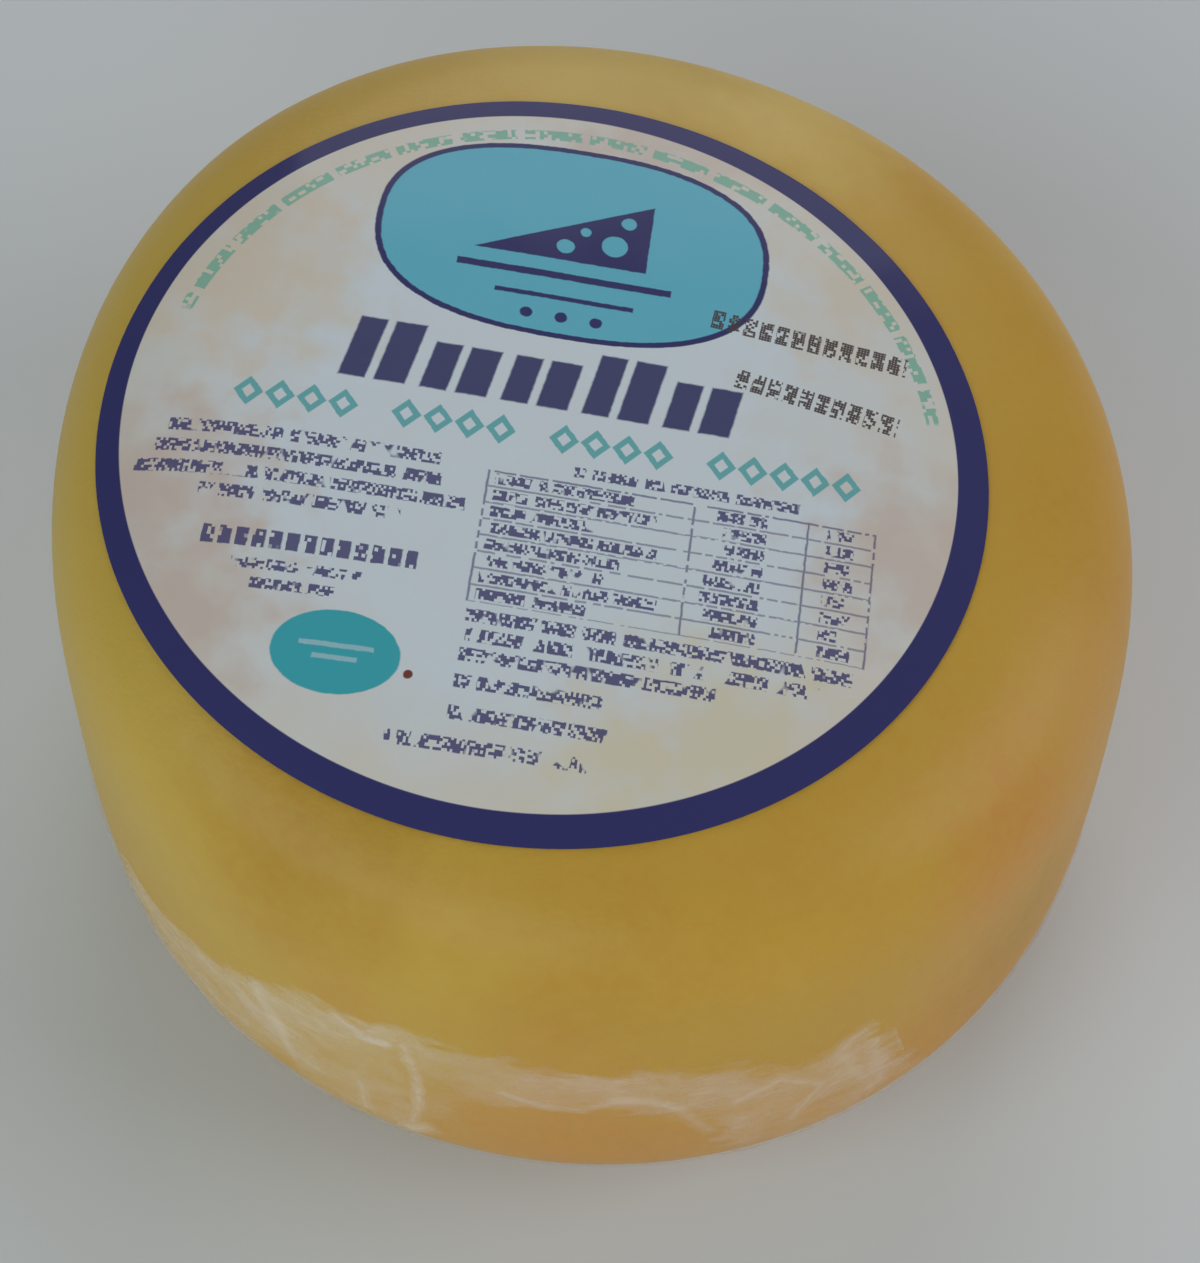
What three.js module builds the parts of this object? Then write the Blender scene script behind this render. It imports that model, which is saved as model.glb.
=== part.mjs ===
// A small wheel of yellow cheese in tight clear film, with a round paper label on its upper face.
// Millimetres, +Z up. The wheel lies flat on its base, and its origin is at the floor,
// under the middle of its box. It is uneven in the way of a hand-turned wheel: a little oval,
// lumpy round its side, slumped to one side and with an upper face that isn't quite level.
import * as THREE from 'three';

// Driving dimensions of the wheel
const WHEEL_RADIUS = 81.4;
const WIDEST_HEIGHT = 38.6;
const CROWN_RISE = 46.6;
const UNDERSIDE_DEPTH = 39.1;
const CROWN_FULLNESS = 5.2;
const UNDERSIDE_FULLNESS = 3.95;

// Unevenness: shares of the radius, slopes in mm for each mm, directions in degrees from +X
const OVAL_SHARE = 0.0205;
const OVAL_DIRECTION = 94;
const THREE_LOBE_SHARE = 0.006;
const THREE_LOBE_DIRECTION = 2;
const FOUR_LOBE_SHARE = 0.005;
const FOUR_LOBE_DIRECTION = 46.5;
const SLUMP_X = -0.073;
const SLUMP_Y = 0.061;
const FACE_SLOPE = 0.04;
const FACE_HIGH_DIRECTION = 198;

// Driving dimensions of the paper label
const LABEL_RADIUS = 62;
const LABEL_X = -9.9;
const LABEL_Y = -3.2;
const LABEL_GAP = 0.3;
const LABEL_THICKNESS = 0.4;

// Facets
const SECTORS = 72;
const UNDERSIDE_ROWS = 12;
const CROWN_ROWS = 17;
const LABEL_ROWS = 10;
const HEIGHT_STEPS = 12;

const FACE_HEIGHT = WIDEST_HEIGHT + CROWN_RISE;

// How far the side stands out in one direction, as a share of the wheel's radius.
function outline(angle) {
  const oval = Math.cos(2 * (angle - THREE.MathUtils.degToRad(OVAL_DIRECTION)));
  const threeLobes = Math.cos(3 * (angle - THREE.MathUtils.degToRad(THREE_LOBE_DIRECTION)));
  const fourLobes = Math.cos(4 * (angle - THREE.MathUtils.degToRad(FOUR_LOBE_DIRECTION)));
  return 1 + OVAL_SHARE * oval + THREE_LOBE_SHARE * threeLobes + FOUR_LOBE_SHARE * fourLobes;
}

// The middle of the wheel's section at one height: it drifts sideways as the wheel slumps.
function sectionMiddle(height) {
  const rise = height - WIDEST_HEIGHT;
  return new THREE.Vector2(SLUMP_X * rise, SLUMP_Y * rise);
}

// The upper face slopes gently: heights grow towards one side, more the nearer they are to the face.
function sloped(x, y, height) {
  const direction = THREE.MathUtils.degToRad(FACE_HIGH_DIRECTION);
  const along = x * Math.cos(direction) + y * Math.sin(direction);
  const share = THREE.MathUtils.clamp(height / FACE_HEIGHT, 0, 1);
  return height + share * FACE_SLOPE * along;
}

// A point on a section, at one height and a share of the full radius.
function sectionPoint(angle, radiusShare, height) {
  const middle = sectionMiddle(height);
  const radius = WHEEL_RADIUS * radiusShare * outline(angle);
  const x = middle.x + radius * Math.cos(angle);
  const y = middle.y + radius * Math.sin(angle);
  return new THREE.Vector3(x, y, Math.max(0, sloped(x, y, height)));
}

// The height of the upper face over a point of the plan, found by stepping towards it.
function faceHeight(x, y) {
  let height = FACE_HEIGHT;
  for (let step = 0; step < HEIGHT_STEPS; step += 1) {
    const middle = sectionMiddle(height);
    const angle = Math.atan2(y - middle.y, x - middle.x);
    const reach = Math.hypot(x - middle.x, y - middle.y) / (WHEEL_RADIUS * outline(angle));
    const drop = (1 - Math.min(reach, 1) ** CROWN_FULLNESS) ** (1 / CROWN_FULLNESS);
    height = WIDEST_HEIGHT + CROWN_RISE * drop;
  }
  return sloped(x, y, height);
}

function ringOf(pointAt) {
  return Array.from({ length: SECTORS }, (_, index) => pointAt((2 * Math.PI * index) / SECTORS));
}

// A closed body through rings of points, from a lower pole to an upper pole.
// The rings run counter-clockwise seen from above, and follow one another up the outside.
function closedBody(lowerPole, rings, upperPole) {
  const positions = [];
  const addTriangle = (a, b, c) => {
    for (const point of [a, b, c]) {
      positions.push(point.x, point.y, point.z);
    }
  };
  const first = rings[0];
  const last = rings[rings.length - 1];
  for (let index = 0; index < SECTORS; index += 1) {
    const next = (index + 1) % SECTORS;
    addTriangle(lowerPole, first[next], first[index]);
    for (let row = 0; row + 1 < rings.length; row += 1) {
      const lower = rings[row];
      const upper = rings[row + 1];
      addTriangle(lower[index], lower[next], upper[next]);
      addTriangle(lower[index], upper[next], upper[index]);
    }
    addTriangle(last[index], last[next], upperPole);
  }
  const geometry = new THREE.BufferGeometry();
  geometry.setAttribute('position', new THREE.Float32BufferAttribute(positions, 3));
  geometry.computeVertexNormals();
  return geometry;
}

// The wheel's side is a superellipse in section: full above and below, with round shoulders.
// Rows are spaced by the angle of that curve, so they crowd where the shoulders turn.
function wheelGeometry() {
  const rings = [];
  const addRing = (turn, fullness, depth) => {
    const radiusShare = Math.abs(Math.cos(turn)) ** (2 / fullness);
    const rise = Math.sign(turn) * depth * Math.abs(Math.sin(turn)) ** (2 / fullness);
    rings.push(ringOf((angle) => sectionPoint(angle, radiusShare, WIDEST_HEIGHT + rise)));
  };
  const flatTurn = Math.asin((WIDEST_HEIGHT / UNDERSIDE_DEPTH) ** (UNDERSIDE_FULLNESS / 2));
  for (let row = 0; row < UNDERSIDE_ROWS; row += 1) {
    addRing(-flatTurn * (1 - row / UNDERSIDE_ROWS), UNDERSIDE_FULLNESS, UNDERSIDE_DEPTH);
  }
  for (let row = 0; row < CROWN_ROWS; row += 1) {
    addRing((Math.PI / 2) * (row / CROWN_ROWS), CROWN_FULLNESS, CROWN_RISE);
  }
  const base = sectionMiddle(0);
  const face = sectionMiddle(FACE_HEIGHT);
  const lowerPole = new THREE.Vector3(base.x, base.y, 0);
  const upperPole = new THREE.Vector3(face.x, face.y, sloped(face.x, face.y, FACE_HEIGHT));
  return closedBody(lowerPole, rings, upperPole);
}

// The label is a thin disc that bends over the crown of the face, a hair above it.
// Its rows crowd towards the rim, where the face begins to fall away.
function labelGeometry() {
  const rowRadius = (row) => LABEL_RADIUS * Math.sin((Math.PI / 2) * (row / LABEL_ROWS));
  const pointAt = (angle, radius, lift) => {
    const x = LABEL_X + radius * Math.cos(angle);
    const y = LABEL_Y + radius * Math.sin(angle);
    return new THREE.Vector3(x, y, faceHeight(x, y) + lift);
  };
  const underside = LABEL_GAP;
  const upperSide = LABEL_GAP + LABEL_THICKNESS;
  const rings = [];
  for (let row = 1; row <= LABEL_ROWS; row += 1) {
    rings.push(ringOf((angle) => pointAt(angle, rowRadius(row), underside)));
  }
  for (let row = LABEL_ROWS; row >= 1; row -= 1) {
    rings.push(ringOf((angle) => pointAt(angle, rowRadius(row), upperSide)));
  }
  return closedBody(pointAt(0, 0, underside), rings, pointAt(0, 0, upperSide));
}

function namedMesh(name, geometry, colour, roughness) {
  const material = new THREE.MeshStandardMaterial({ color: colour, roughness, metalness: 0 });
  const mesh = new THREE.Mesh(geometry, material);
  mesh.name = name;
  return mesh;
}

const wheel = namedMesh('cheese_wheel', wheelGeometry(), 0xa5843e, 0.45);
const label = namedMesh('paper_label', labelGeometry(), 0xb4bcc0, 0.6);

const object = new THREE.Group();
object.add(wheel, label);

const middle = new THREE.Box3().setFromObject(object).getCenter(new THREE.Vector3());
object.position.set(-middle.x, -middle.y, 0);
object.updateMatrixWorld(true);

export default object;
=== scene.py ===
# %% [markdown]
# This lesson dresses a small wheel of yellow cheese. The real thing is a soft-edged round of cheese,
# drawn into tight clear film, with a printed paper label under the film on its upper face.
# The construction model gives the true size and form, so the first step is to load it as a fixed frame.

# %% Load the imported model
import math

import bpy
from mathutils import Matrix, Vector, noise


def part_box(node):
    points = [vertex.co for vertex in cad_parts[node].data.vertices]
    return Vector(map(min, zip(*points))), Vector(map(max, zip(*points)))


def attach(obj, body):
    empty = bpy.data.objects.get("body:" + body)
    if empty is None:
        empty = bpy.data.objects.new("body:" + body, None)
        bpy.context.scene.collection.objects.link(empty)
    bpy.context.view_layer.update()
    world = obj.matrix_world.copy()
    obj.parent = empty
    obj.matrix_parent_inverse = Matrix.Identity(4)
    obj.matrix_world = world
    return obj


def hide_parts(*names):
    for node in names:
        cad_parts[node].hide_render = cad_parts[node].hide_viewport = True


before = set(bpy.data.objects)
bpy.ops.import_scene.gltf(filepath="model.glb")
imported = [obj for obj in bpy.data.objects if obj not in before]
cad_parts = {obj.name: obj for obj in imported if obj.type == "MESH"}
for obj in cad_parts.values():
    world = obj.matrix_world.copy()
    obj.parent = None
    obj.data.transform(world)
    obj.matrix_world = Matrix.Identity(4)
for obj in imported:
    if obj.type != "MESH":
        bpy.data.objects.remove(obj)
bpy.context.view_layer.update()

MM = 0.001
WHEEL_LOW, WHEEL_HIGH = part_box("cheese_wheel")
LABEL_LOW, LABEL_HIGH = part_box("paper_label")
LABEL_CENTRE = (LABEL_LOW + LABEL_HIGH) / 2
LABEL_RADIUS = (LABEL_HIGH.x - LABEL_LOW.x) / 2
WHEEL_HEIGHT = WHEEL_HIGH.z - WHEEL_LOW.z
print("label radius mm", round(LABEL_RADIUS / MM, 2), "wheel height mm", round(WHEEL_HEIGHT / MM, 2))

# %% [markdown]
# The photograph looks steeply down on the wheel from its near side, slightly rolled. A camera could be
# turned by hand, but two angles, a distance and a target say the same thing exactly, so the script
# builds its axes from them: right, up and back, turned together by the roll.

# %% Camera
CAMERA_ELEVATION = math.radians(58.65)
CAMERA_DISTANCE = 434 * MM
CAMERA_ROLL = math.radians(8.28)
CAMERA_TARGET = Vector((0.8, -3.7, 36.7)) * MM
PHOTO_HEIGHT = 1263
FOCAL_PIXELS = 2843
SENSOR_MM = 36

looking = Vector((0, math.cos(CAMERA_ELEVATION), -math.sin(CAMERA_ELEVATION)))
level_right = Vector((1, 0, 0))
level_up = level_right.cross(looking)
right = level_right * math.cos(CAMERA_ROLL) + level_up * math.sin(CAMERA_ROLL)
up = level_up * math.cos(CAMERA_ROLL) - level_right * math.sin(CAMERA_ROLL)

camera_data = bpy.data.cameras.new("camera")
camera_data.sensor_width = SENSOR_MM
camera_data.lens = FOCAL_PIXELS * SENSOR_MM / PHOTO_HEIGHT
camera = bpy.data.objects.new("camera", camera_data)
bpy.context.scene.collection.objects.link(camera)
place = CAMERA_TARGET - looking * CAMERA_DISTANCE
camera.matrix_world = Matrix.Translation(place) @ Matrix((right, up, -looking)).transposed().to_4x4()
bpy.context.scene.camera = camera
print("lens mm", round(camera_data.lens, 2))

# %% [markdown]
# Modelling by hand means picking one object, working on it in edit mode, and applying modifiers.
# These few helpers do the picking, so that no operator touches a piece it shouldn't.

# %% Helpers for modelling
def pick(piece):
    if bpy.context.object and bpy.context.object.mode != "OBJECT":
        bpy.ops.object.mode_set(mode="OBJECT")
    bpy.ops.object.select_all(action="DESELECT")
    bpy.context.view_layer.objects.active = piece
    piece.select_set(True)


def in_edit_mode(piece, steps):
    pick(piece)
    bpy.ops.object.mode_set(mode="EDIT")
    bpy.ops.mesh.select_all(action="SELECT")
    steps()
    bpy.ops.object.mode_set(mode="OBJECT")


def apply_modifier(piece, kind, **settings):
    pick(piece)
    modifier = piece.modifiers.new(kind.lower(), kind)
    for name, value in settings.items():
        setattr(modifier, name, value)
    bpy.ops.object.modifier_apply(modifier=modifier.name)


def duplicate(piece, name):
    twin = bpy.data.objects.new(name, piece.data.copy())
    bpy.context.scene.collection.objects.link(twin)
    return twin


def smooth(piece):
    pick(piece)
    bpy.ops.object.shade_smooth()


def report(piece):
    print(piece.name, "faces", len(piece.data.polygons))


# %% [markdown]
# The frame's wheel is right in form but faceted. A copy of it is merged into one skin, its triangles
# are paired back into quads, and a subdivision rounds it. The frame's own mesh stays as it is.

# %% Smooth form of the wheel
SMOOTHING_LEVELS = 2
MERGE_DISTANCE = 0.01 * MM


def merge_and_pair():
    bpy.ops.mesh.remove_doubles(threshold=MERGE_DISTANCE)
    bpy.ops.mesh.tris_convert_to_quads(face_threshold=math.pi, shape_threshold=math.pi)
    bpy.ops.mesh.normals_make_consistent(inside=False)


def smooth_wheel():
    wheel = duplicate(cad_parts["cheese_wheel"], "cheese_rind")
    wheel.data.materials.clear()
    pick(wheel)
    if wheel.data.has_custom_normals:
        bpy.ops.mesh.customdata_custom_splitnormals_clear()
    in_edit_mode(wheel, merge_and_pair)
    apply_modifier(wheel, "SUBSURF", levels=SMOOTHING_LEVELS, render_levels=SMOOTHING_LEVELS)
    smooth(wheel)
    report(wheel)
    return wheel


rind = smooth_wheel()

# %% [markdown]
# Relief that follows no simple curve, such as lumps in cheese or puckers in film, is made by moving
# points along their normals by an amount that a small function works out from their place.

# %% Moving points along their normals
def push_out(piece, amount):
    mesh = piece.data
    moves = [amount(vertex.co) for vertex in mesh.vertices]
    normals = [vertex.normal.copy() for vertex in mesh.vertices]
    for vertex, normal, move in zip(mesh.vertices, normals, moves):
        vertex.co += normal * move
    mesh.update()


def bearing(point):
    return math.degrees(math.atan2(point.y, point.x))


def hump(value, middle, width):
    return math.exp(-(((value - middle) / width) ** 2))


def ramp(value, low, high):
    share = min(1.0, max(0.0, (value - low) / (high - low)))
    return share * share * (3 - 2 * share)


# %% [markdown]
# The paper label is a disc of thin paper that bends over the crown. A flat ring is extruded inwards,
# row by row, and closed in the middle. Shrinkwrap then drops it straight down onto the smooth wheel,
# which keeps its outline a true circle in plan, and Solidify gives the paper its thickness.

# %% Paper label
LABEL_SIDES = 192
LABEL_ROWS = 30
LABEL_START_ABOVE = 10 * MM
PAPER_THICKNESS = 0.16 * MM
PAPER_LIFT = 0.02 * MM
PAPER_SHARP_ANGLE = math.radians(40)
COCKLE_DEPTH = 0.07 * MM
COCKLE_SIZE = 9 * MM


def fill_rows_inwards():
    for row in range(LABEL_ROWS - 1, 0, -1):
        shrink = row / (row + 1)
        bpy.ops.mesh.extrude_edges_move()
        bpy.ops.transform.resize(value=(shrink, shrink, 1), center_override=tuple(LABEL_CENTRE))
    bpy.ops.mesh.edge_face_add()
    bpy.ops.mesh.poke()


def cockled_paper(point):
    return COCKLE_DEPTH * noise.noise(point / COCKLE_SIZE)


def paper_label():
    bpy.ops.object.select_all(action="DESELECT")
    start = (LABEL_CENTRE.x, LABEL_CENTRE.y, WHEEL_HIGH.z + LABEL_START_ABOVE)
    bpy.ops.mesh.primitive_circle_add(vertices=LABEL_SIDES, radius=LABEL_RADIUS, location=start)
    label = bpy.context.object
    label.name = "printed_label"
    bpy.ops.object.transform_apply(location=True, rotation=True, scale=True)
    in_edit_mode(label, fill_rows_inwards)
    in_edit_mode(label, lambda: bpy.ops.mesh.normals_make_consistent(inside=False))
    apply_modifier(
        label, "SHRINKWRAP", target=rind, wrap_method="PROJECT", wrap_mode="ABOVE_SURFACE",
        use_project_z=True, use_negative_direction=True, use_positive_direction=False,
        offset=PAPER_LIFT,
    )
    push_out(label, cockled_paper)
    apply_modifier(label, "SOLIDIFY", thickness=PAPER_THICKNESS, offset=1.0)
    pick(label)
    bpy.ops.object.shade_smooth_by_angle(angle=PAPER_SHARP_ANGLE)
    report(label)
    return label


label = paper_label()

# %% [markdown]
# Low on its side the film lies double. The outer layer ends in a wavy edge that climbs to a broad hump
# on the near side and drops steeply to the right of it. The edge eases from one listed height to the
# next. A tube of rows is extruded from a circle, its rows are spread up to that edge, and Shrinkwrap
# pulls it in against the wheel. Each point keeps its distance from the edge as an attribute, so that
# the material can thin the film out towards it.

# %% Edge of the double film: bearings in degrees with heights in mm, and fine waves on top
FLAP_FOOT = 4.0
FLAP_WAVES = ((9, 0.6, 0.5), (31, 1.2, 0.4))
FLAP_EDGE = (
    (-190, 27.0), (-155, 30.0), (-134, 41.0), (-125, 43.5), (-118, 48.0), (-112, 54.5), (-108.5, 53.5),
    (-102, 56.0), (-92, 54.5), (-80, 51.8), (-72, 51.5), (-63, 46.0), (-59.5, 49.0), (-56, 50.5),
    (-53.5, 46.0), (-50, 34.0), (-46.5, 25.0), (-43, 17.0), (-39, 15.0), (-26, 23.0), (-8, 27.0),
    (60, 26.0), (105, 29.0), (150, 25.0), (190, 27.0),
)


def flap_edge(degrees):
    height = FLAP_EDGE[0][1]
    for (start, low), (end, high) in zip(FLAP_EDGE, FLAP_EDGE[1:]):
        height += (high - low) * ramp(degrees, start, end)
    turn = math.radians(degrees)
    return height + sum(size * math.sin(count * turn + phase) for count, phase, size in FLAP_WAVES)


# %% Double film piece: each crease has a start, an end, a width and a height
FLAP_SIDES = 432
FLAP_ROWS = 36
FLAP_START_RADIUS = 100 * MM
FLAP_LIFT = 0.18 * MM
FLAP_THICKNESS = 0.10 * MM
EDGE_SEARCH = 7
SIDE_REACH = 82.0
BEAD_HEIGHT, BEAD_DEPTH, BEAD_WIDTH = 0.14, 0.6, 0.7
SLACK_HEIGHT, SLACK_DEGREES, SLACK_RISE, SLACK_FADE = 0.12, 4, 14, 8
CREASE_END_SHARE = 0.12
CREASES = (
    ((-118.0, 44.0), (-114.5, 32.0), 1.6, 0.25),
    ((-108.5, 52.0), (-104.0, 48.6), 1.4, 0.35),
    ((-102.2, 50.0), (-100.3, 27.0), 1.3, 0.35),
    ((-92.0, 42.0), (-77.0, 42.5), 1.5, 0.25),
    ((-58.5, 43.0), (-53.7, 27.0), 1.5, 0.28),
    ((150.0, 26.0), (166.0, 12.0), 1.6, 0.30),
    ((60.0, 27.0), (74.0, 10.0), 1.6, 0.30),
    ((100.0, 22.0), (122.0, 18.0), 1.6, 0.25),
    ((10.0, 24.0), (22.0, 9.0), 1.6, 0.30),
    ((-165.0, 29.0), (-152.0, 14.0), 1.6, 0.30),
)


def stack_rows():
    for _ in range(FLAP_ROWS):
        bpy.ops.mesh.extrude_edges_move(TRANSFORM_OT_translate={"value": (0, 0, 1 * MM)})


def near_crease(point, crease):
    (start_bearing, start_height), (end_bearing, end_height), width, height = crease
    across = SIDE_REACH * math.radians(bearing(point) - start_bearing)
    above = point.z / MM - start_height
    run = SIDE_REACH * math.radians(end_bearing - start_bearing)
    rise = end_height - start_height
    share = min(1.0, max(0.0, (across * run + above * rise) / (run * run + rise * rise)))
    gap = math.hypot(across - share * run, above - share * rise)
    ends = CREASE_END_SHARE + (1 - 2 * CREASE_END_SHARE) * share
    return height * hump(gap, 0, width) * math.sin(math.pi * ends)


def flap_relief(point):
    degrees = bearing(point)
    height = point.z / MM
    from_edge = flap_edge(degrees) - height
    bead = BEAD_HEIGHT * hump(from_edge, BEAD_DEPTH, BEAD_WIDTH)
    folds = sum(near_crease(point, crease) for crease in CREASES)
    cloud = noise.noise(Vector((degrees / SLACK_DEGREES, height / SLACK_RISE, 3)))
    slack = SLACK_HEIGHT * (cloud + 0.4) * ramp(from_edge, 0, SLACK_FADE)
    return (bead + folds + max(0, slack)) * MM


def mark_depth(piece):
    edges = {degrees: flap_edge(degrees) for degrees in range(-190, 191)}
    layer = piece.data.attributes.new("film_depth", "FLOAT", "POINT")
    for vertex, item in zip(piece.data.vertices, layer.data):
        degrees, height = bearing(vertex.co), vertex.co.z / MM
        near = range(round(degrees) - EDGE_SEARCH, round(degrees) + EDGE_SEARCH + 1)
        item.value = min(
            math.hypot(SIDE_REACH * math.radians(step - degrees), edges[step] - height)
            for step in near
        )


def double_film():
    bpy.ops.object.select_all(action="DESELECT")
    bpy.ops.mesh.primitive_circle_add(vertices=FLAP_SIDES, radius=FLAP_START_RADIUS)
    flap = bpy.context.object
    flap.name = "film_double_layer"
    in_edit_mode(flap, stack_rows)
    for vertex in flap.data.vertices:
        share = vertex.co.z / (FLAP_ROWS * MM)
        edge = flap_edge(bearing(vertex.co))
        vertex.co.z = (FLAP_FOOT + share * (edge - FLAP_FOOT)) * MM
    in_edit_mode(flap, lambda: bpy.ops.mesh.normals_make_consistent(inside=False))
    apply_modifier(
        flap, "SHRINKWRAP", target=rind, wrap_method="PROJECT", wrap_mode="ABOVE_SURFACE",
        use_negative_direction=True, use_positive_direction=False, offset=FLAP_LIFT,
    )
    push_out(flap, flap_relief)
    apply_modifier(flap, "SOLIDIFY", thickness=FLAP_THICKNESS, offset=1.0)
    mark_depth(flap)
    smooth(flap)
    report(flap)
    return flap


double_layer = double_film()

# %% [markdown]
# A single skin of film covers everything, the label too. It clings, so it is a copy of the smooth form
# pushed out a hair. Towards the underside, where a shrinking bag has too much film, it draws into
# pleats that run to the middle of the base.

# %% Clinging film
FILM_LIFT = 0.10
FILM_LIFT_OVER_LABEL = 0.20
FILM_STEP_FROM_LABEL = 2.5 * MM
UNDER_LABEL_MARGIN = 2 * MM
FILM_REST_LOW, FILM_REST_HIGH = 0.3, 3
RESTING_LIFT_SHARE = 0.2
PLEATS = 46
PLEAT_DEPTH = 0.5
PLEAT_SHARPNESS = 3
PLEAT_WANDER = 2.5
PLEAT_LOW, PLEAT_TOP = 2, 20.0
PLEAT_INNER_RADIUS, PLEAT_OUTER_RADIUS = 14.0, 42.0
FILM_RIPPLES = ((7 * MM, 0.04), (2.5 * MM, 0.02))


def over_label(point):
    if point.z < LABEL_LOW.z - UNDER_LABEL_MARGIN:
        return 0
    out = math.hypot(point.x - LABEL_CENTRE.x, point.y - LABEL_CENTRE.y)
    return 1 - ramp(out, LABEL_RADIUS, LABEL_RADIUS + FILM_STEP_FROM_LABEL)


def film_relief(point):
    height = point.z / MM
    degrees = bearing(point)
    out = math.hypot(point.x, point.y) / MM
    wander = PLEAT_WANDER * noise.noise(Vector((degrees / 20, height / 10, 7)))
    wave = 0.5 + 0.5 * math.sin(math.radians(degrees) * PLEATS + wander)
    low = 1 - ramp(height, PLEAT_LOW, PLEAT_TOP)
    resting = ramp(height, FILM_REST_LOW, FILM_REST_HIGH)
    fading = ramp(out, PLEAT_INNER_RADIUS, PLEAT_OUTER_RADIUS)
    pleat = PLEAT_DEPTH * wave ** PLEAT_SHARPNESS * low * resting * fading
    ripple = sum(depth * noise.noise(point / size) for size, depth in FILM_RIPPLES) * resting
    lift = FILM_LIFT * (RESTING_LIFT_SHARE + (1 - RESTING_LIFT_SHARE) * resting)
    return (lift + FILM_LIFT_OVER_LABEL * over_label(point) + pleat + ripple) * MM


def rest_on_floor(piece):
    for vertex in piece.data.vertices:
        vertex.co.z = max(0, vertex.co.z)


film = duplicate(rind, "film_skin")
push_out(film, film_relief)
rest_on_floor(film)
report(film)

# %% [markdown]
# The cheese itself lies just inside the film. Hand-turned cheese has low broad lumps and a faint
# orange-peel grain where the film has printed into it, so the smooth form sinks by an uneven amount.

# %% Lumpy rind
RIND_INSET = 0.16
LUMP_SIZE, LUMP_DEPTH = 26 * MM, 0.10
GRAIN_SIZE, GRAIN_DEPTH = 3.2 * MM, 0.02


def rind_relief(point):
    lumps = LUMP_DEPTH * noise.noise(point / LUMP_SIZE)
    grain = GRAIN_DEPTH * noise.noise(point / GRAIN_SIZE)
    return (lumps + grain - RIND_INSET) * MM


push_out(rind, rind_relief)
report(rind)

# %% [markdown]
# A material here is a sum of fields: numbers that change over the surface. Each field is a socket of
# a shader node, and writing its sums in plain Python keeps a long pattern readable.

# %% Fields: numbers that change over a surface
class Field:
    def __init__(self, tree, socket):
        self.tree = tree
        self.socket = socket

    def math(self, operation, *others, clamp=False):
        node = self.tree.nodes.new("ShaderNodeMath")
        node.operation = operation
        node.use_clamp = clamp
        self.tree.links.new(self.socket, node.inputs[0])
        for slot, other in enumerate(others, start=1):
            if isinstance(other, Field):
                self.tree.links.new(other.socket, node.inputs[slot])
            else:
                node.inputs[slot].default_value = other
        return Field(self.tree, node.outputs[0])

    def __add__(self, other):
        return self.math("ADD", other)

    def __sub__(self, other):
        return self.math("SUBTRACT", other)

    def __mul__(self, other):
        return self.math("MULTIPLY", other)

    def magnitude(self):
        return self.math("ABSOLUTE")

    def larger(self, other):
        return self.math("MAXIMUM", other)

    def smaller(self, other):
        return self.math("MINIMUM", other)

    def below(self, edge, softness):
        return self.math("MULTIPLY_ADD", -1 / softness, edge / softness + 0.5, clamp=True)

    def above(self, edge, softness):
        return self.math("MULTIPLY_ADD", 1 / softness, 0.5 - edge / softness, clamp=True)


# %% Small helpers for nodes
def colour_mix(tree, factor, first, second):
    node = tree.nodes.new("ShaderNodeMix")
    node.data_type = "RGBA"
    tree.links.new(factor.socket, node.inputs[0])
    for socket, value in ((node.inputs[6], first), (node.inputs[7], second)):
        if isinstance(value, bpy.types.NodeSocket):
            tree.links.new(value, socket)
        else:
            socket.default_value = (*value, 1)
    return node.outputs[2]


def place_in_mm(tree):
    coordinates = tree.nodes.new("ShaderNodeTexCoord")
    mapping = tree.nodes.new("ShaderNodeMapping")
    mapping.inputs["Scale"].default_value = (1 / MM, 1 / MM, 1 / MM)
    tree.links.new(coordinates.outputs["Object"], mapping.inputs["Vector"])
    return mapping.outputs["Vector"]


def split(tree, vector):
    node = tree.nodes.new("ShaderNodeSeparateXYZ")
    tree.links.new(vector, node.inputs[0])
    return [Field(tree, socket) for socket in node.outputs]


def join(tree, *parts):
    node = tree.nodes.new("ShaderNodeCombineXYZ")
    for socket, part in zip(node.inputs, parts):
        if isinstance(part, Field):
            tree.links.new(part.socket, socket)
        else:
            socket.default_value = part
    return node.outputs[0]


def vector_math(tree, operation, *values):
    node = tree.nodes.new("ShaderNodeVectorMath")
    node.operation = operation
    for socket, value in zip(node.inputs, values):
        if isinstance(value, bpy.types.NodeSocket):
            tree.links.new(value, socket)
        else:
            socket.default_value = value
    return node


def new_material(name, **values):
    material = bpy.data.materials.new(name)
    material.use_nodes = True
    tree = material.node_tree
    shader = tree.nodes["Principled BSDF"]
    for socket, value in values.items():
        shader.inputs[socket.replace("_", " ")].default_value = value
    return material, tree, shader


def wear(piece, material):
    piece.data.materials.clear()
    piece.data.materials.append(material)
    print(piece.name, "wears", material.name)


# %% [markdown]
# Two effects serve several materials, so each is a node group. Mottle gives a soft uneven value at
# any scale. Soft patch gives a blurred spot round a centre, with an edge that wanders.

# %% Shared node groups
MOTTLE_CONTRAST, MOTTLE_SHIFT = 2.2, -0.6
PATCH_WANDER_SCALE = 0.16


def new_group(name, inputs, output):
    tree = bpy.data.node_groups.new(name, "ShaderNodeTree")
    for socket, kind, value in inputs:
        made = tree.interface.new_socket(socket, in_out="INPUT", socket_type=f"NodeSocket{kind}")
        if value is not None:
            made.default_value = value
    tree.interface.new_socket(output, in_out="OUTPUT", socket_type="NodeSocketFloat")
    return tree, tree.nodes.new("NodeGroupInput"), tree.nodes.new("NodeGroupOutput")


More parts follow.
